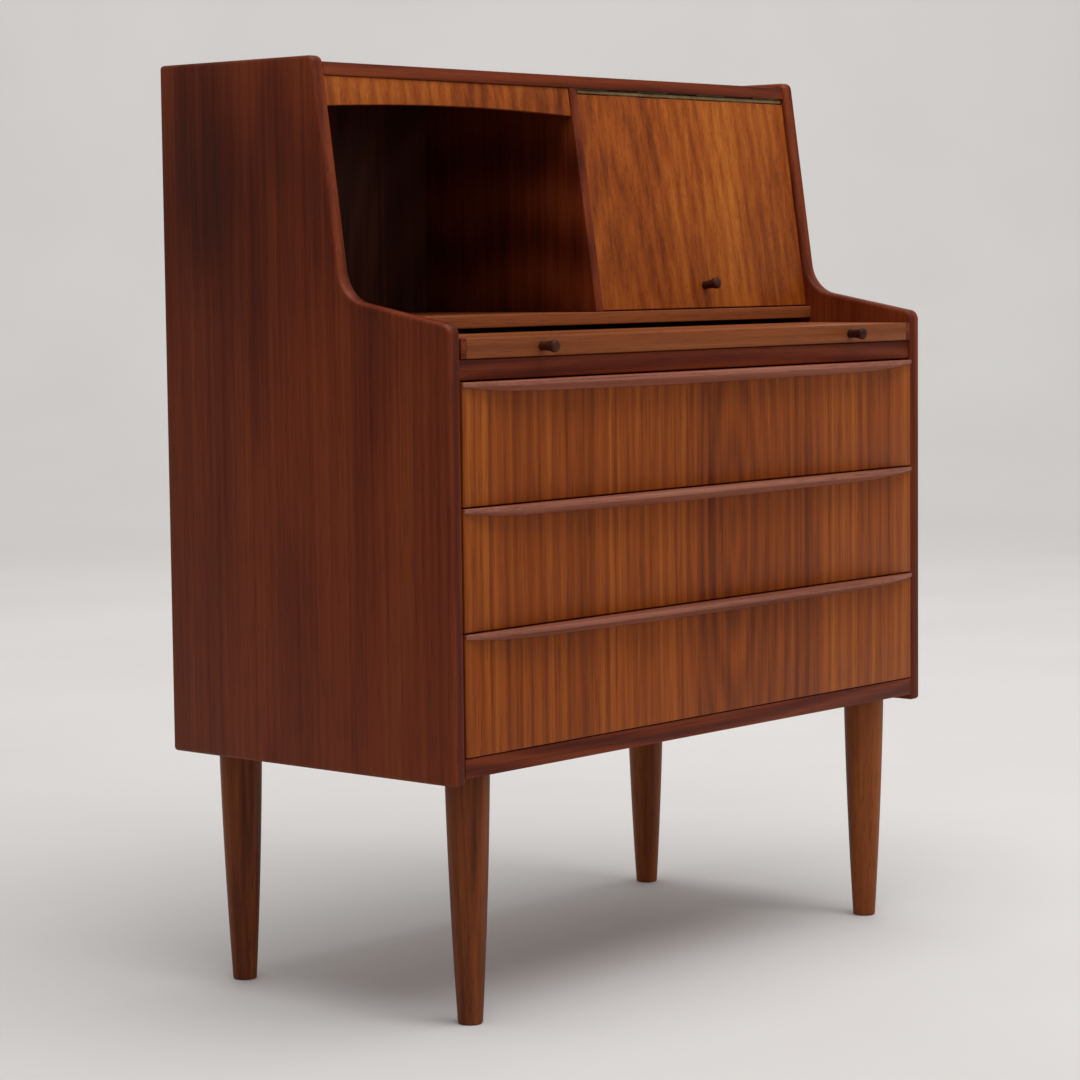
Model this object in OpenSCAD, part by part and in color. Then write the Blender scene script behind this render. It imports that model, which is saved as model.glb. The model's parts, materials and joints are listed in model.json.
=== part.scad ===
// Secretary desk: two side panels on turned legs, three drawers, a pull-out
// writing leaf, an open compartment and a lift-up flap. Front faces -Y.

/* [Case] */
// Overall width across the side panels
case_w = 840; // [780:1:900]
// Depth of the side panels
case_d = 425; // [400:1:440]
// Thickness of the side panels
side_t = 18; // [16:0.5:20]
// Slope of the upper front edge, from the vertical
lean = 8.4; // [7:0.1:9]
// Underside of the side panels above the floor
side_low = 262; // [240:1:270]

/* [Drawers] */
// How far a drawer pull stands out at its middle
pull_out = 24; // [20:0.5:28]
// Thickness of the drawer fronts
front_t = 18; // [16:0.5:20]

/* [Leaf] */
// Depth of the writing leaf
leaf_d = 400; // [360:1:405]
// Thickness of the writing leaf
leaf_t = 21.2; // [18:0.2:22]

/* [Legs] */
// Radius of a leg where it meets the case
leg_top_r = 24; // [21:0.5:26]
// Radius of a leg at the floor
leg_foot_r = 13.2; // [11:0.2:15]

/* [Hidden] */
side_top = 1016;
front_y = -(case_d - pull_out) / 2;
back_y = front_y + case_d;
in_x = case_w / 2 - side_t;
knee_y = front_y + 152.8;
knee_z = 762.4;
shoulder_z = 734.5;
side_top_r = 8.5;
knee_r = 42;
shoulder_r = 12;
arc_steps = 12;
rail_low = 269;
rail_top = 289;
board_t = 14;
deck_z = 727;
deck_top = deck_z + board_t;
deck_y = front_y + 148.2;
top_z = 996;
leaf_z = 700;
leaf_rail_z = 678;
leaf_rail_d = 57;
leaf_travel = 230;
stop_w = 60;
stop_t = 14;
stop_h = 12;
drawer_z = 290.2;
drawer_pitch = 129.2;
front_h = 127.7;
front_gap = 1.2;
box_t = 12;
box_d = 360;
box_h = 100;
runner_h = 11;
runner_w = 20;
bottom_t = 5;
pull_h = 14;
pull_mid_r = 9000;
pull_end_r = 360;
pull_turn_x = 300;
lip_cuts = 12;
pull_nose = 4.5;
divider_t = 13;
flap_t = 16;
flap_back = 5;
flap_low = deck_top + 1.3;
hinge_r = 2.6;
hinge_z = 992.6;
hinge_y = slope_y(hinge_z) + flap_back + 2.2;
pin_r = 1.1;
stay_r = 100;
stay_x = in_x - 7;
back_t = 6;
back_in = 3;
leg_in = 62.4;
leg_front = 39.7;
leg_back = 42.7;
$fn = 64;

function slope_y(z) = knee_y + (z - knee_z) * tan(lean);
function drawer_base(i) = drawer_z + (3 - i) * drawer_pitch;

wood_side = [0.33, 0.16, 0.08];
wood_front = [0.62, 0.36, 0.17];
wood_inner = [0.72, 0.55, 0.36];
metal = [0.68, 0.52, 0.24];

// Draws a profile given in depth and height, run along the width
module across(x0, x1) {
  translate([x0, 0, 0]) rotate([90, 0, 90]) linear_extrude(x1 - x0) children();
}

// Box between two corners
module block(a, b) {
  translate(a) cube([b[0] - a[0], b[1] - a[1], b[2] - a[2]]);
}

// Points of an arc that rounds the corner p, where u and v are the ways out of it
function round_corner(p, u, v, r) =
  let (half = acos(u * v) / 2, m = (u + v) / norm(u + v), c = p + m * r / sin(half),
       from = p + u * r / tan(half) - c, to = p + v * r / tan(half) - c,
       a = atan2(from[1], from[0]), turn = atan2(from[0] * to[1] - from[1] * to[0], from * to))
  [for (k = [0:arc_steps]) c + r * [cos(a + turn * k / arc_steps), sin(a + turn * k / arc_steps)]];

module side_shape() {
  fall = (knee_z - shoulder_z) / (knee_y - front_y);
  sh = [1, fall] / norm([1, fall]);
  up = [sin(lean), cos(lean)];
  polygon(concat([[front_y, side_low], [back_y, side_low], [back_y, side_top]],
    round_corner([slope_y(side_top), side_top], [1, 0], -up, side_top_r),
    round_corner([knee_y, knee_z], up, -sh, knee_r),
    round_corner([front_y, shoulder_z], sh, [0, -1], shoulder_r)));
}

module side(s) {
  color(wood_side)
    if (s < 0) across(-case_w / 2, -in_x) side_shape();
    else across(in_x, case_w / 2) side_shape();
}
module side_left() side(-1);
module side_right() side(1);

module top_board() {
  color(wood_side) across(-in_x, in_x)
    polygon([[slope_y(top_z) + 2, top_z], [back_y - 9, top_z], [back_y - 9, top_z + board_t],
             [slope_y(top_z + board_t) + 2, top_z + board_t]]);
}

module header_board() {
  arch_r = 3700;
  low = 963;
  color(wood_front) difference() {
    across(-in_x, -divider_t / 2)
      polygon([[slope_y(low) + 4, low], [slope_y(low) + 16, low],
               [slope_y(top_z) + 16, top_z], [slope_y(top_z) + 4, top_z]]);
    translate([-(in_x + divider_t / 2) / 2, slope_y(low), low + 6 - arch_r])
      rotate([90, 0, 0]) cylinder(h = 80, r = arch_r, center = true, $fn = 1800);
  }
}

module divider() {
  color(wood_front) across(-divider_t / 2, divider_t / 2)
    polygon([[slope_y(deck_top) + 2, deck_top], [back_y - 9, deck_top], [back_y - 9, top_z],
             [slope_y(top_z) + 2, top_z]]);
}

module deck_board() {
  color(wood_front) block([-in_x, deck_y, deck_z], [in_x, back_y - 9, deck_top]);
}

module bottom_board() {
  color(wood_side) difference() {
    block([-in_x, front_y + 1, rail_low], [in_x, back_y - 9, rail_top]);
    leg_holes();
  }
}

module leaf_rail() {
  color(wood_side)
    block([-in_x, front_y + 4, leaf_rail_z], [in_x, front_y + leaf_rail_d, leaf_z - 0.5]);
}

module back_lower() {
  color(wood_inner)
    block([-in_x, back_y - back_in - back_t, rail_low], [in_x, back_y - back_in, deck_top]);
}

module back_upper() {
  color(wood_inner)
    block([-in_x, back_y - back_in - back_t, deck_top], [in_x, back_y - back_in, top_z + board_t]);
}

// Leg places, front left first, then front right, back left, back right
function leg_x(i) = (i % 2 == 0 ? -1 : 1) * (case_w / 2 - leg_in);
function leg_y(i) = i < 2 ? front_y + leg_front : back_y - leg_back;
bolt_r = 4;
bolt_low = rail_low - 35;
bolt_top = rail_top - 4;

module leg_holes() {
  for (i = [0:3]) translate([leg_x(i), leg_y(i), rail_low - 1])
    cylinder(h = bolt_top - rail_low + 1.2, r = bolt_r + 0.1);
}

module leg(i) {
  h = rail_low;
  d = leg_top_r - leg_foot_r;
  color(wood_front) translate([leg_x(i), leg_y(i), 0]) difference() {
    rotate_extrude() polygon([[0, 0], [leg_foot_r - 1.6, 0], [leg_foot_r - 0.4, 0.7],
      [leg_foot_r + 0.1, 2.2], [leg_foot_r + d * 0.24, h * 0.17], [leg_foot_r + d * 0.47, h * 0.34],
      [leg_foot_r + d * 0.67, h * 0.51], [leg_foot_r + d * 0.83, h * 0.68],
      [leg_foot_r + d * 0.94, h * 0.85], [leg_top_r, h], [0, h]]);
    translate([0, 0, bolt_low]) cylinder(h = 60, r = bolt_r + 0.1);
  }
}
module leg_front_left() leg(0);
module leg_front_right() leg(1);
module leg_back_left() leg(2);
module leg_back_right() leg(3);

module leg_bolt(i) {
  color(metal) translate([leg_x(i), leg_y(i), bolt_low + 0.2])
    cylinder(h = bolt_top - bolt_low - 0.4, r = bolt_r);
}
module bolt_front_left() leg_bolt(0);
module bolt_front_right() leg_bolt(1);
module bolt_back_left() leg_bolt(2);
module bolt_back_right() leg_bolt(3);

// Bearer strips under the drawer sides, one pair for each drawer
module runner(i, s) {
  z = drawer_base(i) + 1;
  color(wood_inner)
    if (s < 0) block([-in_x, front_y + front_t + 6, z], [-in_x + runner_w, back_y - 9, z + runner_h]);
    else block([in_x - runner_w, front_y + front_t + 6, z], [in_x, back_y - 9, z + runner_h]);
}
module runner_1_left() runner(1, -1);
module runner_1_right() runner(1, 1);
module runner_2_left() runner(2, -1);
module runner_2_right() runner(2, 1);
module runner_3_left() runner(3, -1);
module runner_3_right() runner(3, 1);

module leaf_runner(s) {
  z = leaf_z - 0.5;
  color(wood_inner)
    if (s < 0) block([-in_x, front_y + leaf_rail_d, z - 16], [-in_x + runner_w, back_y - 9, z]);
    else block([in_x - runner_w, front_y + leaf_rail_d, z - 16], [in_x, back_y - 9, z]);
}
module leaf_runner_left() leaf_runner(-1);
module leaf_runner_right() leaf_runner(1);

module front_panel(i) {
  z = drawer_base(i);
  x = in_x - front_gap;
  color(wood_front) difference() {
    block([-x, front_y, z], [x, front_y + front_t, z + front_h]);
    block([-x + 7, front_y + front_t - 6, z + 20], [x - 7, front_y + front_t + 1, z + 20 + bottom_t]);
  }
}

// How far the lip stands out: nearly straight in the middle, curving back to thin ends
function lip_out(x) =
  let (d = max(0, abs(x) - pull_turn_x), m = min(abs(x), pull_turn_x))
  pull_out - m * m / (2 * pull_mid_r) - d * pull_turn_x / pull_mid_r - d * d / (2 * pull_end_r);

// Lip along the top of a drawer front, a wedge that narrows to its nose
module pull(i) {
  half = in_x - front_gap;
  z = drawer_base(i) + front_h;
  slope = (pull_h - pull_nose) / pull_out;
  n = 2 * lip_cuts;
  xs = [for (k = [-lip_cuts:lip_cuts]) half * sin(90 * k / lip_cuts)];
  pts = [for (x = xs) let (o = lip_out(x))
    each [[x, front_y, z], [x, front_y - o, z], [x, front_y - o, z - pull_nose],
          [x, front_y, z - pull_nose - slope * o]]];
  walls = [for (k = [0:n - 1]) for (j = [0:3])
    [4 * k + j, 4 * k + (j + 1) % 4, 4 * k + 4 + (j + 1) % 4, 4 * k + 4 + j]];
  color(wood_front) polyhedron(pts, concat([[3, 2, 1, 0]], walls, [[4 * n, 4 * n + 1, 4 * n + 2, 4 * n + 3]]));
}

module box_side(i, s) {
  z = drawer_base(i) + 1 + runner_h + 0.3;
  x = in_x - front_gap - 1;
  y = front_y + front_t;
  color(wood_inner) difference() {
    if (s < 0) block([-x, y, z], [-x + box_t, y + box_d, z + box_h]);
    else block([x - box_t, y, z], [x, y + box_d, z + box_h]);
    block([-x + box_t - 5, y - 1, drawer_base(i) + 20],
          [x - box_t + 5, y + box_d + 1, drawer_base(i) + 20 + bottom_t]);
  }
}

module box_back(i) {
  z = drawer_base(i) + 20 + bottom_t;
  x = in_x - front_gap - 1 - box_t;
  y = front_y + front_t + box_d;
  color(wood_inner) block([-x, y - box_t - 4, z], [x, y - 4, z + box_h - 16]);
}

module box_bottom(i) {
  z = drawer_base(i) + 20;
  x = in_x - front_gap - 1 - box_t + 5;
  y = front_y + front_t;
  color(wood_inner) block([-x, y - 5, z], [x, y + box_d - 2, z + bottom_t]);
}

module drawer_1_front() front_panel(1);
module drawer_1_pull() pull(1);
module drawer_1_side_left() box_side(1, -1);
module drawer_1_side_right() box_side(1, 1);
module drawer_1_back() box_back(1);
module drawer_1_bottom() box_bottom(1);
module drawer_2_front() front_panel(2);
module drawer_2_pull() pull(2);
module drawer_2_side_left() box_side(2, -1);
module drawer_2_side_right() box_side(2, 1);
module drawer_2_back() box_back(2);
module drawer_2_bottom() box_bottom(2);
module drawer_3_front() front_panel(3);
module drawer_3_pull() pull(3);
module drawer_3_side_left() box_side(3, -1);
module drawer_3_side_right() box_side(3, 1);
module drawer_3_back() box_back(3);
module drawer_3_bottom() box_bottom(3);

lip_t = 8;
leaf_x = in_x - 1.2;
module leaf_board() {
  color(wood_front) block([-leaf_x + lip_t, front_y + 0.5, leaf_z],
                          [leaf_x - lip_t, front_y + leaf_d, leaf_z + leaf_t]);
}
module leaf_lip_left() {
  color(wood_side) block([-leaf_x, front_y + 0.5, leaf_z], [-leaf_x + lip_t, front_y + leaf_d, leaf_z + leaf_t]);
}
module leaf_lip_right() {
  color(wood_side) block([leaf_x - lip_t, front_y + 0.5, leaf_z], [leaf_x, front_y + leaf_d, leaf_z + leaf_t]);
}
module leaf_stop() {
  color(wood_inner) translate([-stop_w, front_y + leaf_rail_d + leaf_travel + 1, leaf_z - stop_h])
    cube([2 * stop_w, stop_t, stop_h]);
}

// Turned peg knob, its base at the origin and its head along +Z
module peg() {
  color(wood_side) rotate_extrude()
    polygon([[0, 0], [5.2, 0], [4.9, 6], [5.2, 11], [6.5, 16], [6.8, 18.5], [6.2, 20.4], [4.2, 21.4], [0, 21.8]]);
}
module leaf_knob_left() translate([-276, front_y + 0.5, leaf_z + leaf_t / 2]) rotate([90, 0, 0]) peg();
module leaf_knob_right() translate([276, front_y + 0.5, leaf_z + leaf_t / 2]) rotate([90, 0, 0]) peg();

flap_x0 = divider_t / 2 + 1.5;
flap_x1 = in_x - 1.2;
flap_top = hinge_z - hinge_r - 0.6;
module flap_panel() {
  color(wood_front) across(flap_x0, flap_x1)
    polygon([[slope_y(flap_low) + flap_back, flap_low], [slope_y(flap_low) + flap_back + flap_t, flap_low],
             [slope_y(flap_top) + flap_back + flap_t, flap_top], [slope_y(flap_top) + flap_back, flap_top]]);
}
module flap_knob() {
  translate([202, slope_y(769) + flap_back, 769]) rotate([90 - lean, 0, 0]) peg();
}

hinge_x0 = flap_x0 + 2;
hinge_part = (flap_x1 - 2 - hinge_x0) / 7;
module hinge_barrels(first) {
  for (k = [first:2:6]) translate([hinge_x0 + k * hinge_part + 0.3, hinge_y, hinge_z])
    rotate([0, 90, 0]) cylinder(h = hinge_part - 0.6, r = hinge_r);
}
module pin_hole() {
  translate([hinge_x0 - 5, hinge_y, hinge_z]) rotate([0, 90, 0]) cylinder(h = 7 * hinge_part + 10, r = pin_r + 0.05);
}
module hinge_top_leaf() {
  color(metal) difference() {
    union() {
      hinge_barrels(0);
      block([hinge_x0, hinge_y + 3.1, top_z - 1.4], [hinge_x0 + 7 * hinge_part, hinge_y + 16, top_z]);
      for (k = [0:2:6]) block([hinge_x0 + k * hinge_part + 0.3, hinge_y - 0.4, top_z - 1.4],
                              [hinge_x0 + (k + 1) * hinge_part - 0.3, hinge_y + 3.6, top_z]);
    }
    pin_hole();
  }
}
module hinge_flap_leaf() {
  color(metal) difference() {
    union() {
      hinge_barrels(1);
      block([hinge_x0, hinge_y + 3.1, flap_top], [hinge_x0 + 7 * hinge_part, hinge_y + 12, flap_top + 1.2]);
      for (k = [1:2:5]) block([hinge_x0 + k * hinge_part + 0.3, hinge_y - 0.4, flap_top],
                              [hinge_x0 + (k + 1) * hinge_part - 0.3, hinge_y + 3.6, flap_top + 1.2]);
    }
    pin_hole();
  }
}
module hinge_pin() {
  color(metal) translate([hinge_x0, hinge_y, hinge_z]) rotate([0, 90, 0]) cylinder(h = 7 * hinge_part, r = pin_r);
}

// Curved stay, a slice of a ring about the hinge pin, fixed to the back of the flap
stay_from = 270 - lean + 9.4;
stay_mid = 310;
stay_to = 361;
keeper_at = 283;
keeper_half = 7;
module stay_arm() {
  color(metal) translate([stay_x, hinge_y, hinge_z]) rotate([90, 0, 90]) linear_extrude(2.5) intersection() {
    difference() {
      circle(stay_r + 5);
      circle(stay_r - 5);
    }
    polygon([[0, 0], 300 * [cos(stay_from), sin(stay_from)], 300 * [cos(stay_mid), sin(stay_mid)],
             300 * [cos(stay_to), sin(stay_to)]]);
  }
}
module stay_keeper() {
  y = hinge_y + stay_r * cos(keeper_at);
  z = hinge_z + stay_r * sin(keeper_at);
  color(metal) {
    block([stay_x - 3.5, y - keeper_half, z - 16], [stay_x - 0.6, y + keeper_half, z + 8]);
    block([stay_x - 3.5, y - keeper_half, z - 16], [in_x, y + keeper_half, z - 12]);
  }
}

side_left();
side_right();
top_board();
header_board();
divider();
deck_board();
bottom_board();
leaf_rail();
back_lower();
back_upper();
leg_front_left();
leg_front_right();
leg_back_left();
leg_back_right();
bolt_front_left();
bolt_front_right();
bolt_back_left();
bolt_back_right();
runner_1_left();
runner_1_right();
runner_2_left();
runner_2_right();
runner_3_left();
runner_3_right();
leaf_runner_left();
leaf_runner_right();
drawer_1_front();
drawer_1_pull();
drawer_1_side_left();
drawer_1_side_right();
drawer_1_back();
drawer_1_bottom();
drawer_2_front();
drawer_2_pull();
drawer_2_side_left();
drawer_2_side_right();
drawer_2_back();
drawer_2_bottom();
drawer_3_front();
drawer_3_pull();
drawer_3_side_left();
drawer_3_side_right();
drawer_3_back();
drawer_3_bottom();
leaf_board();
leaf_lip_left();
leaf_lip_right();
leaf_stop();
leaf_knob_left();
leaf_knob_right();
flap_panel();
flap_knob();
hinge_top_leaf();
hinge_flap_leaf();
hinge_pin();
stay_arm();
stay_keeper();
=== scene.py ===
"""Looks of the secretary desk: rounded boards, turned legs and knobs, oiled teak, brass, plain studio."""

import json
import math

import bmesh
import bpy
from bpy.props import FloatProperty, IntProperty, PointerProperty
from mathutils import Matrix, Vector


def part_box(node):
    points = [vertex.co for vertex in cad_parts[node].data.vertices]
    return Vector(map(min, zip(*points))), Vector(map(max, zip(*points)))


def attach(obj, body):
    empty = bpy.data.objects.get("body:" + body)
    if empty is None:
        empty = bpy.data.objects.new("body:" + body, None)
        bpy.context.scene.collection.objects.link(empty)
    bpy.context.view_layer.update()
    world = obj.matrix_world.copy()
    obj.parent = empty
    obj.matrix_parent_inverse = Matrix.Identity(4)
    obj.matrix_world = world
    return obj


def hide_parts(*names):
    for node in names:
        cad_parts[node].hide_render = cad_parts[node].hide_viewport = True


bl_info = {
    "name": "Secretary desk",
    "version": (1, 0, 0),
    "blender": (4, 5, 0),
    "location": "View3D > Sidebar > Desk",
    "description": "Builds the finished look of a teak secretary desk over its packed frame",
    "category": "Object",
}

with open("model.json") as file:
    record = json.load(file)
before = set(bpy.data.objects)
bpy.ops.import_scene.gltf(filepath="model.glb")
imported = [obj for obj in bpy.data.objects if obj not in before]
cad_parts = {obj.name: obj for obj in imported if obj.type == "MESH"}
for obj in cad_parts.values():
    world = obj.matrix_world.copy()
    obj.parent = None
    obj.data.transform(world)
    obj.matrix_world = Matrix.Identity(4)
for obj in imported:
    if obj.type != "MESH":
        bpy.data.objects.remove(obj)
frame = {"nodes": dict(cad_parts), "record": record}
NODES = frame["nodes"]
RECORD = frame["record"]
BODY_OF = {n: b for b, group in RECORD["behaviour"]["bodies"].items() for n in group}
SLOT_OF = {s["node"]: s["material_slot"] for s in RECORD["subparts"]}

MERGE = 1e-6
SHARP_EDGE = math.radians(25)
FLAT_ANGLE = math.radians(0.6)
FLAP_LEAN = math.radians(8.4)
FOOT_SHARE = 0.555
BASE_DEPTH = 1e-5
CAMERA_PLACE = (-2.7737, -2.3740, 0.7925)
CAMERA_AZIMUTH = math.radians(-48.89)
CAMERA_RISE = math.radians(4.93)
CAMERA_ROLL = math.radians(-0.64)
CAMERA_LENS = 105.4

# Dark, middle and light colour of each wood, and what else sets it apart
WOODS = {
    # side_teak is the darker teak of the side panels; on the inner back and divider it is partly their teak
    # and partly painted shade of the compartments
    "side_teak": ((0.036, 0.0048, 0.0012), (0.108, 0.0155, 0.0036), (0.2, 0.037, 0.0085),
                  {"centre": (0, 0.06, 0.42), "flame": 0.22}),
    "front_teak": ((0.105, 0.0175, 0.0025), (0.275, 0.059, 0.006), (0.46, 0.137, 0.016),
                   {"centre": (0.05, 0, 0.5)}),
    "edge_teak": ((0.12, 0.028, 0.008), (0.225, 0.06, 0.016), (0.33, 0.105, 0.029), {}),
    "pull_teak": ((0.17, 0.052, 0.034), (0.3, 0.108, 0.07), (0.42, 0.18, 0.115), {}),
    "leg_teak": ((0.084, 0.0175, 0.0045), (0.2, 0.049, 0.011), (0.31, 0.092, 0.021), {}),
    # dark_teak is teak darkened to near black: painted shade for the recessed parts that sit in shadow
    "dark_teak": ((0.02, 0.005, 0.0025), (0.045, 0.011, 0.0055), (0.085, 0.025, 0.011), {}),
    "inner_wood": ((0.3, 0.15, 0.065), (0.46, 0.26, 0.125), (0.58, 0.37, 0.2), {"roughness": 0.6}),
}
# Dark and light colour of each metal, and its roughness
METALS = {
    "brass": ((0.16, 0.1, 0.045), (0.36, 0.25, 0.12), 0.42),
    "steel": ((0.42, 0.42, 0.41), (0.6, 0.6, 0.59), 0.35),
}


class DeskWood(bpy.types.PropertyGroup):
    edge_round: FloatProperty(name="Edge round", description="Rounding of the board edges",
                              default=0.0012, min=0.0003, max=0.003, unit="LENGTH")
    side_round: FloatProperty(name="Side edge round", description="Rounding of the solid side panel edges",
                              default=0.0045, min=0.001, max=0.008, unit="LENGTH")
    gloss: FloatProperty(name="Roughness", description="Roughness of the oiled wood",
                         default=0.42, min=0.1, max=0.9, subtype="FACTOR")
    turn_steps: IntProperty(name="Turning steps", description="Steps round a turned leg or knob",
                            default=72, min=24, max=128)


class DeskStage(bpy.types.PropertyGroup):
    key_power: FloatProperty(name="Overhead light", description="Power of the overhead softbox",
                             default=105.0, min=0.0, max=2000.0, unit="POWER")
    fill_power: FloatProperty(name="Side light", description="Power of the softbox on the open side",
                              default=22.0, min=0.0, max=2000.0, unit="POWER")
    wall_power: FloatProperty(name="Wall light", description="Power of the softbox that washes the backdrop",
                              default=230.0, min=0.0, max=3000.0, unit="POWER")
    ambient: FloatProperty(name="Ambient", description="Strength of the even light all round",
                           default=0.36, min=0.0, max=2.0)


def node(tree, kind, **values):
    """Adds a shader node and sets its inputs by name."""
    n = tree.nodes.new(kind)
    for key, value in values.items():
        if hasattr(n, key):
            setattr(n, key, value)
        else:
            n.inputs[key.replace("_", " ")].default_value = value
    return n


def ramp(tree, stops):
    n = tree.nodes.new("ShaderNodeValToRGB")
    els = n.color_ramp.elements
    while len(els) < len(stops):
        els.new(0.5)
    for el, (at, colour) in zip(els, stops):
        el.position = at
        el.color = (*colour, 1.0)
    return n


def mapped(tree, source, centre, scale, turn=(0, 0, 0)):
    m = tree.nodes.new("ShaderNodeMapping")
    m.vector_type = "POINT"
    m.inputs["Location"].default_value = [-c * s for c, s in zip(centre, scale)]
    m.inputs["Scale"].default_value = scale
    m.inputs["Rotation"].default_value = turn
    tree.links.new(source, m.inputs["Vector"])
    return m.outputs["Vector"]


def wood(name, grain, dark, mid, light, centre=(0, 0, 0), flame=0.0, roughness=0.42):
    """Oiled wood with its grain along one axis: broad figure, fine streaks and pores."""
    mat = bpy.data.materials.new(name)
    mat.use_nodes = True
    tree = mat.node_tree
    link = tree.links.new
    shader = tree.nodes["Principled BSDF"]
    coords = tree.nodes.new("ShaderNodeTexCoord").outputs["Object"]
    axis = "XYZ".index(grain)

    def stretch(across, along):
        return [along if i == axis else across for i in range(3)]

    broad = node(tree, "ShaderNodeTexNoise", Scale=1.0, Detail=3.0, Roughness=0.55, Distortion=0.35)
    link(mapped(tree, coords, centre, stretch(7.0, 0.55)), broad.inputs["Vector"])
    streak = node(tree, "ShaderNodeTexNoise", Scale=1.0, Detail=5.0, Roughness=0.62, Distortion=0.1)
    link(mapped(tree, coords, centre, stretch(150.0, 1.6)), streak.inputs["Vector"])
    pores = node(tree, "ShaderNodeTexNoise", Scale=1.0, Detail=2.0, Roughness=0.5)
    link(mapped(tree, coords, centre, stretch(900.0, 22.0)), pores.inputs["Vector"])
    rings = node(tree, "ShaderNodeTexWave", wave_type="RINGS", rings_direction="Y" if grain != "Y" else "X",
                 Scale=9.0, Distortion=2.2, Detail=2.0, Detail_Scale=1.2)
    link(mapped(tree, coords, centre, stretch(1.7, 0.35)), rings.inputs["Vector"])
    mix = node(tree, "ShaderNodeMath", operation="MULTIPLY_ADD")
    link(rings.outputs["Fac"], mix.inputs[0])
    mix.inputs[1].default_value = 0.14 + flame
    link(broad.outputs["Fac"], mix.inputs[2])
    mix2 = node(tree, "ShaderNodeMath", operation="MULTIPLY_ADD")
    link(streak.outputs["Fac"], mix2.inputs[0])
    mix2.inputs[1].default_value = 0.85
    link(mix.outputs[0], mix2.inputs[2])
    span = node(tree, "ShaderNodeMapRange", From_Min=0.67, From_Max=1.43)
    link(mix2.outputs[0], span.inputs["Value"])
    colour = ramp(tree, [(0.0, dark), (0.45, mid), (1.0, light)])
    link(span.outputs["Result"], colour.inputs["Fac"])
    specks = ramp(tree, [(0.32, (0.55, 0.5, 0.48)), (0.46, (1.0, 1.0, 1.0))])
    link(pores.outputs["Fac"], specks.inputs["Fac"])
    blend = node(tree, "ShaderNodeMix", data_type="RGBA", blend_type="MULTIPLY")
    blend.inputs["Factor"].default_value = 0.75
    link(colour.outputs["Color"], blend.inputs["A"])
    link(specks.outputs["Color"], blend.inputs["B"])
    link(blend.outputs["Result"], shader.inputs["Base Color"])
    gloss = node(tree, "ShaderNodeMapRange", To_Min=roughness - 0.06, To_Max=roughness + 0.1)
    link(streak.outputs["Fac"], gloss.inputs["Value"])
    link(gloss.outputs["Result"], shader.inputs["Roughness"])
    shader.inputs["Specular IOR Level"].default_value = 0.13
    bump = node(tree, "ShaderNodeBump", Strength=0.18, Distance=0.0004)
    link(pores.outputs["Fac"], bump.inputs["Height"])
    link(bump.outputs["Normal"], shader.inputs["Normal"])
    return mat


def metal(name, dark, light, roughness):
    mat = bpy.data.materials.new(name)
    mat.use_nodes = True
    tree = mat.node_tree
    shader = tree.nodes["Principled BSDF"]
    coords = tree.nodes.new("ShaderNodeTexCoord").outputs["Object"]
    cloud = node(tree, "ShaderNodeTexNoise", Scale=60.0, Detail=4.0)
    tree.links.new(mapped(tree, coords, (0, 0, 0.5), (1, 1, 1)), cloud.inputs["Vector"])
    colour = ramp(tree, [(0.3, dark), (0.7, light)])
    tree.links.new(cloud.outputs["Fac"], colour.inputs["Fac"])
    tree.links.new(colour.outputs["Color"], shader.inputs["Base Color"])
    rough = node(tree, "ShaderNodeMapRange", To_Min=roughness - 0.08, To_Max=roughness + 0.12)
    tree.links.new(cloud.outputs["Fac"], rough.inputs["Value"])
    tree.links.new(rough.outputs["Result"], shader.inputs["Roughness"])
    shader.inputs["Metallic"].default_value = 1.0
    return mat


def plain(name, low, high, scale, roughness):
    """A nearly even surface with a faint mottle."""
    mat = bpy.data.materials.new(name)
    mat.use_nodes = True
    tree = mat.node_tree
    shader = tree.nodes["Principled BSDF"]
    coords = tree.nodes.new("ShaderNodeTexCoord").outputs["Object"]
    cloud = node(tree, "ShaderNodeTexNoise", Scale=scale, Detail=3.0)
    tree.links.new(mapped(tree, coords, (0, 0, 0), (1, 1, 1)), cloud.inputs["Vector"])
    colour = ramp(tree, [(0.3, low), (0.7, high)])
    tree.links.new(cloud.outputs["Fac"], colour.inputs["Fac"])
    tree.links.new(colour.outputs["Color"], shader.inputs["Base Color"])
    shader.inputs["Roughness"].default_value = roughness
    return mat


def grain_of(name, slot):
    """The axis that the grain of a CAD node runs along."""
    if name.endswith(("_back", "_bottom", "_stop")):
        return "X"
    if "knob" in name or name.startswith(("runner", "leaf_runner", "leaf_lip")) or "_side_" in name:
        return "Y"
    if slot in ("pull_teak", "edge_teak") or name in ("top_board", "bottom_board", "leaf_rail"):
        return "X"
    return "Z"


def material_for(name):
    """The finish of a CAD node, made once for each finish and grain direction."""
    slot = SLOT_OF[name]
    grain = grain_of(name, slot)
    key = "%s_%s" % (slot, grain)
    made = bpy.data.materials.get(key)
    if made:
        return made
    if slot in METALS:
        return metal(key, *METALS[slot])
    dark, mid, light, extra = WOODS[slot]
    settings = {"roughness": bpy.context.scene.desk_wood.gloss, **extra}
    return wood(key, grain, dark, mid, light, **settings)


def put(mesh, name, node_name, smooth_angle=35.0):
    """Makes an object of a mesh, standing for one CAD node."""
    obj = bpy.data.objects.new(name, mesh)
    bpy.context.scene.collection.objects.link(obj)
    mesh.materials.clear()
    mesh.materials.append(material_for(node_name))
    for poly in mesh.polygons:
        poly.use_smooth = True
    mesh.set_sharp_from_angle(angle=math.radians(smooth_angle))
    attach(obj, BODY_OF[node_name])
    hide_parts(node_name)
    return obj


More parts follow.
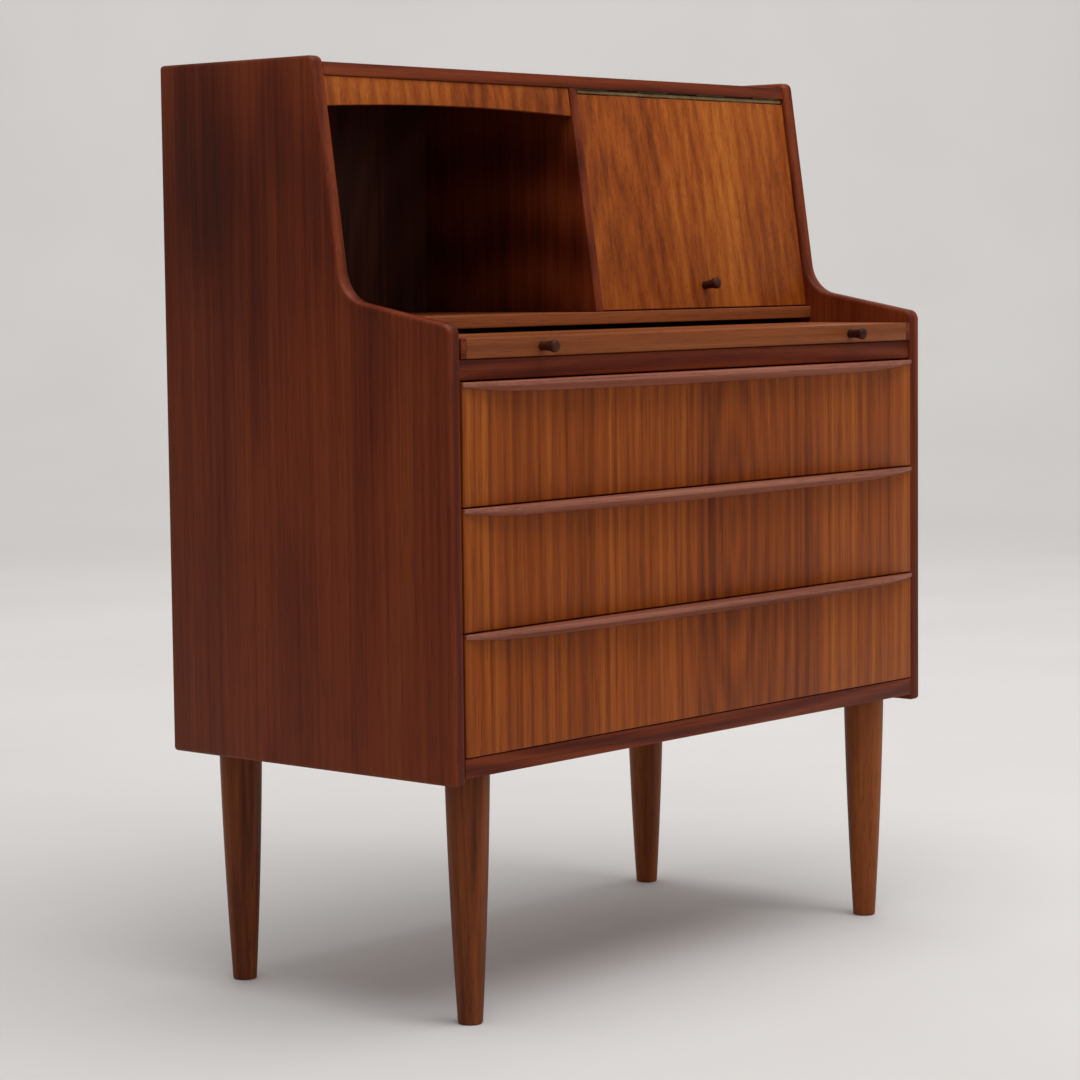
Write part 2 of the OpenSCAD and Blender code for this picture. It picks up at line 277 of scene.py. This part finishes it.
def rounded(node_name, radius, segments=3, pick=None):
    """A merged copy of a CAD node with its sharp edges rounded."""
    bm = bmesh.new()
    bm.from_mesh(NODES[node_name].data)
    bmesh.ops.remove_doubles(bm, verts=bm.verts, dist=MERGE)
    bmesh.ops.dissolve_limit(bm, angle_limit=FLAT_ANGLE, verts=bm.verts, edges=bm.edges)
    edges = [e for e in bm.edges if len(e.link_faces) == 2 and e.calc_face_angle(0) > SHARP_EDGE]
    if pick:
        edges = [e for e in edges if pick(e)]
    bmesh.ops.bevel(bm, geom=edges, offset=radius, offset_type="OFFSET", segments=segments, profile=0.5,
                    affect="EDGES", clamp_overlap=True, material=-1)
    bmesh.ops.recalc_face_normals(bm, faces=bm.faces)
    mesh = bpy.data.meshes.new(node_name + "_look")
    bm.to_mesh(mesh)
    bm.free()
    return put(mesh, node_name + "_look", node_name)


def turned(node_name, profile, base, axis):
    """A solid of revolution: profile gives (height, radius) from base along axis."""
    steps = bpy.context.scene.desk_wood.turn_steps
    bm = bmesh.new()
    axis = Vector(axis).normalized()
    out = axis.orthogonal().normalized()
    verts = [bm.verts.new(Vector(base) + axis * h + out * r) for h, r in profile]
    edges = [bm.edges.new(pair) for pair in zip(verts, verts[1:])]
    bmesh.ops.spin(bm, geom=verts + edges, cent=base, axis=axis, angle=2 * math.pi, steps=steps,
                   use_merge=True)
    bmesh.ops.remove_doubles(bm, verts=bm.verts, dist=MERGE)
    bmesh.ops.recalc_face_normals(bm, faces=bm.faces)
    mesh = bpy.data.meshes.new(node_name + "_look")
    bm.to_mesh(mesh)
    bm.free()
    return put(mesh, node_name + "_look", node_name, 50.0)


class DESK_OT_sides(bpy.types.Operator):
    """Side panels with rounded solid edges"""
    bl_idname = "desk.sides"
    bl_label = "Side panels"

    def execute(self, context):
        wood_set = context.scene.desk_wood
        for name in ("side_left", "side_right"):
            lo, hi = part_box(name)

            def along_edge(e, lo=lo, hi=hi):
                return all(min(abs(v.co.x - lo[0]), abs(v.co.x - hi[0])) < 1e-5 for v in e.verts)
            rounded(name, wood_set.side_round, 4, along_edge)
        return {"FINISHED"}


class DESK_OT_boards(bpy.types.Operator):
    """Boards of the case, the drawers, the leaf and the flap with eased edges"""
    bl_idname = "desk.boards"
    bl_label = "Boards"

    def execute(self, context):
        radius = context.scene.desk_wood.edge_round
        for name in NODES:
            slot = SLOT_OF[name]
            if name.startswith("side_") or slot in ("leg_teak", "steel", "brass") or "knob" in name:
                continue
            thin = slot == "inner_wood"
            rounded(name, radius * (0.5 if thin else 1.0), 2 if thin else 3)
        return {"FINISHED"}


class DESK_OT_legs(bpy.types.Operator):
    """Four turned legs with a slight swell and a rounded foot"""
    bl_idname = "desk.legs"
    bl_label = "Legs"

    def execute(self, context):
        foot_round = 0.0022
        rings = 28
        for name in [n for n in NODES if n.startswith("leg_")]:
            lo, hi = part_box(name)
            top = (hi[0] - lo[0]) / 2
            centre = Vector(((lo[0] + hi[0]) / 2, (lo[1] + hi[1]) / 2, lo[2]))
            height = hi[2] - lo[2]
            foot = top * FOOT_SHARE
            profile = [(0.0, 0.0)]
            for k in range(7):
                a = math.pi / 2 * k / 6
                profile.append((foot_round * (1 - math.cos(a)), foot - foot_round * (1 - math.sin(a))))
            for k in range(1, rings + 1):
                t = k / rings
                swell = foot + (top - foot) * (1.5 * t - 0.5 * t * t)
                profile.append((foot_round + (height - foot_round) * t, swell))
            profile.append((height, 0.0))
            turned(name, profile, centre, (0, 0, 1))
        return {"FINISHED"}


class DESK_OT_knobs(bpy.types.Operator):
    """Turned peg knobs of the leaf and the flap"""
    bl_idname = "desk.knobs"
    bl_label = "Knobs"

    def execute(self, context):
        shape = ((0, 0), (0, 5.2), (3, 4.95), (7, 4.95), (11, 5.3), (14, 5.95), (16.5, 6.6), (18.4, 6.8),
                 (19.8, 6.45), (20.9, 5.5), (21.5, 4.0), (21.75, 2.0), (21.8, 0))
        profile = [(h / 1000, r / 1000) for h, r in shape]
        for name in ("leaf_knob_left", "leaf_knob_right", "flap_knob"):
            lo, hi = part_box(name)
            if name == "flap_knob":
                axis = Vector((0, -math.cos(FLAP_LEAN), math.sin(FLAP_LEAN)))
                mid = (lo + hi) / 2
                points = [v.co for v in NODES[name].data.vertices]
                near = min(p.dot(axis) for p in points)
                rim = [p for p in points if p.dot(axis) < near + BASE_DEPTH]
                centre = mid + axis * (near - mid.dot(axis))
                centre.z = sum(p.z for p in rim) / len(rim)
            else:
                axis = Vector((0, -1, 0))
                centre = Vector(((lo[0] + hi[0]) / 2, hi[1], (lo[2] + hi[2]) / 2))
            turned(name, profile, centre, axis)
        return {"FINISHED"}


class DESK_OT_fittings(bpy.types.Operator):
    """Finishes of the hinge, the stay and the bolts, which keep their CAD shape"""
    bl_idname = "desk.fittings"
    bl_label = "Fittings"

    def execute(self, context):
        for name, obj in NODES.items():
            if SLOT_OF[name] in ("steel", "brass"):
                obj.data.materials.clear()
                obj.data.materials.append(material_for(name))
        return {"FINISHED"}


class DESK_OT_stage(bpy.types.Operator):
    """Pale floor and backdrop, soft lights and the camera"""
    bl_idname = "desk.stage"
    bl_label = "Stage"

    def execute(self, context):
        scene = context.scene
        settings = scene.desk_stage
        bm = bmesh.new()
        away = Vector((-math.sin(CAMERA_AZIMUTH), math.cos(CAMERA_AZIMUTH), 0))
        side = Vector((away.y, -away.x, 0))
        wall, bend = 17.0, 2.5
        start = -away * 9 - side * 14
        outline = [(0.0, 0.0), (wall - bend, 0.0)]
        for k in range(1, 13):
            a = math.pi / 2 * k / 12
            outline.append((wall - bend + bend * math.sin(a), bend * (1 - math.cos(a))))
        outline.append((wall, 9.0))
        verts = [bm.verts.new(start + away * d + Vector((0, 0, h))) for d, h in outline]
        edges = [bm.edges.new(pair) for pair in zip(verts, verts[1:])]
        grown = bmesh.ops.extrude_edge_only(bm, edges=edges)
        far_side = [g for g in grown["geom"] if isinstance(g, bmesh.types.BMVert)]
        bmesh.ops.translate(bm, vec=side * 28, verts=far_side)
        bmesh.ops.recalc_face_normals(bm, faces=bm.faces)
        mesh = bpy.data.meshes.new("backdrop")
        bm.to_mesh(mesh)
        bm.free()
        for poly in mesh.polygons:
            poly.use_smooth = True
        floor = bpy.data.objects.new("backdrop", mesh)
        scene.collection.objects.link(floor)
        mesh.materials.append(plain("studio_floor", (0.69, 0.67, 0.655), (0.72, 0.705, 0.69), 1.5, 0.75))

        def softbox(name, place, target, size, power):
            data = bpy.data.lights.new(name, "AREA")
            data.shape = "RECTANGLE"
            data.size, data.size_y = size
            data.energy = power
            lamp = bpy.data.objects.new(name, data)
            scene.collection.objects.link(lamp)
            lamp.location = place
            lamp.rotation_euler = (Vector(target) - Vector(place)).to_track_quat("-Z", "Y").to_euler()
        softbox("overhead", (-0.2, -0.9, 3.6), (0, 0, 0.3), (3.4, 3.0), settings.key_power)
        softbox("front_fill", (0.6, -3.9, 1.9), (0, 0, 0.5), (2.4, 2.0), settings.fill_power)
        above = Vector((0, 0, 5.2))
        low_on_wall = Vector((0, 0, 1.5))
        softbox("wall_wash", away * 2.6 + above, away * 8 + low_on_wall, (9.0, 4.0), settings.wall_power)
        world = bpy.data.worlds.new("studio")
        world.use_nodes = True
        sky = world.node_tree.nodes["Background"].inputs
        sky["Color"].default_value = (1.0, 0.99, 0.98, 1)
        sky["Strength"].default_value = settings.ambient
        scene.world = world
        scene.view_settings.view_transform = "Standard"

        back = Vector((math.sin(CAMERA_AZIMUTH) * math.cos(CAMERA_RISE),
                       -math.cos(CAMERA_AZIMUTH) * math.cos(CAMERA_RISE), math.sin(CAMERA_RISE)))
        right = Vector((math.cos(CAMERA_AZIMUTH), math.sin(CAMERA_AZIMUTH), 0))
        up = back.cross(right)
        rolled_right = right * math.cos(CAMERA_ROLL) + up * math.sin(CAMERA_ROLL)
        rolled_up = up * math.cos(CAMERA_ROLL) - right * math.sin(CAMERA_ROLL)
        data = bpy.data.cameras.new("camera")
        data.sensor_width = 36.0
        data.lens = CAMERA_LENS
        cam = bpy.data.objects.new("camera", data)
        scene.collection.objects.link(cam)
        turn = Matrix((rolled_right, rolled_up, back)).transposed().to_4x4()
        cam.matrix_world = Matrix.Translation(CAMERA_PLACE) @ turn
        scene.camera = cam
        return {"FINISHED"}


STEPS = (DESK_OT_sides, DESK_OT_boards, DESK_OT_legs, DESK_OT_knobs, DESK_OT_fittings, DESK_OT_stage)


class DESK_PT_panel(bpy.types.Panel):
    """Steps that build the desk's look"""
    bl_idname = "DESK_PT_panel"
    bl_label = "Secretary desk"
    bl_space_type = "VIEW_3D"
    bl_region_type = "UI"
    bl_category = "Desk"

    def draw(self, context):
        for group in (context.scene.desk_wood, context.scene.desk_stage):
            box = self.layout.box()
            for key in group.__annotations__:
                box.prop(group, key)
        for step in STEPS:
            self.layout.operator(step.bl_idname)


CLASSES = (DeskWood, DeskStage, *STEPS, DESK_PT_panel)


def register():
    for cls in CLASSES:
        bpy.utils.register_class(cls)
    bpy.types.Scene.desk_wood = PointerProperty(type=DeskWood)
    bpy.types.Scene.desk_stage = PointerProperty(type=DeskStage)


def unregister():
    del bpy.types.Scene.desk_stage
    del bpy.types.Scene.desk_wood
    for cls in reversed(CLASSES):
        bpy.utils.unregister_class(cls)


def main():
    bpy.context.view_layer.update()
    register()
    bpy.ops.desk.sides()
    bpy.ops.desk.boards()
    bpy.ops.desk.legs()
    bpy.ops.desk.knobs()
    bpy.ops.desk.fittings()
    bpy.ops.desk.stage()


if __name__ == "__main__":
    main()
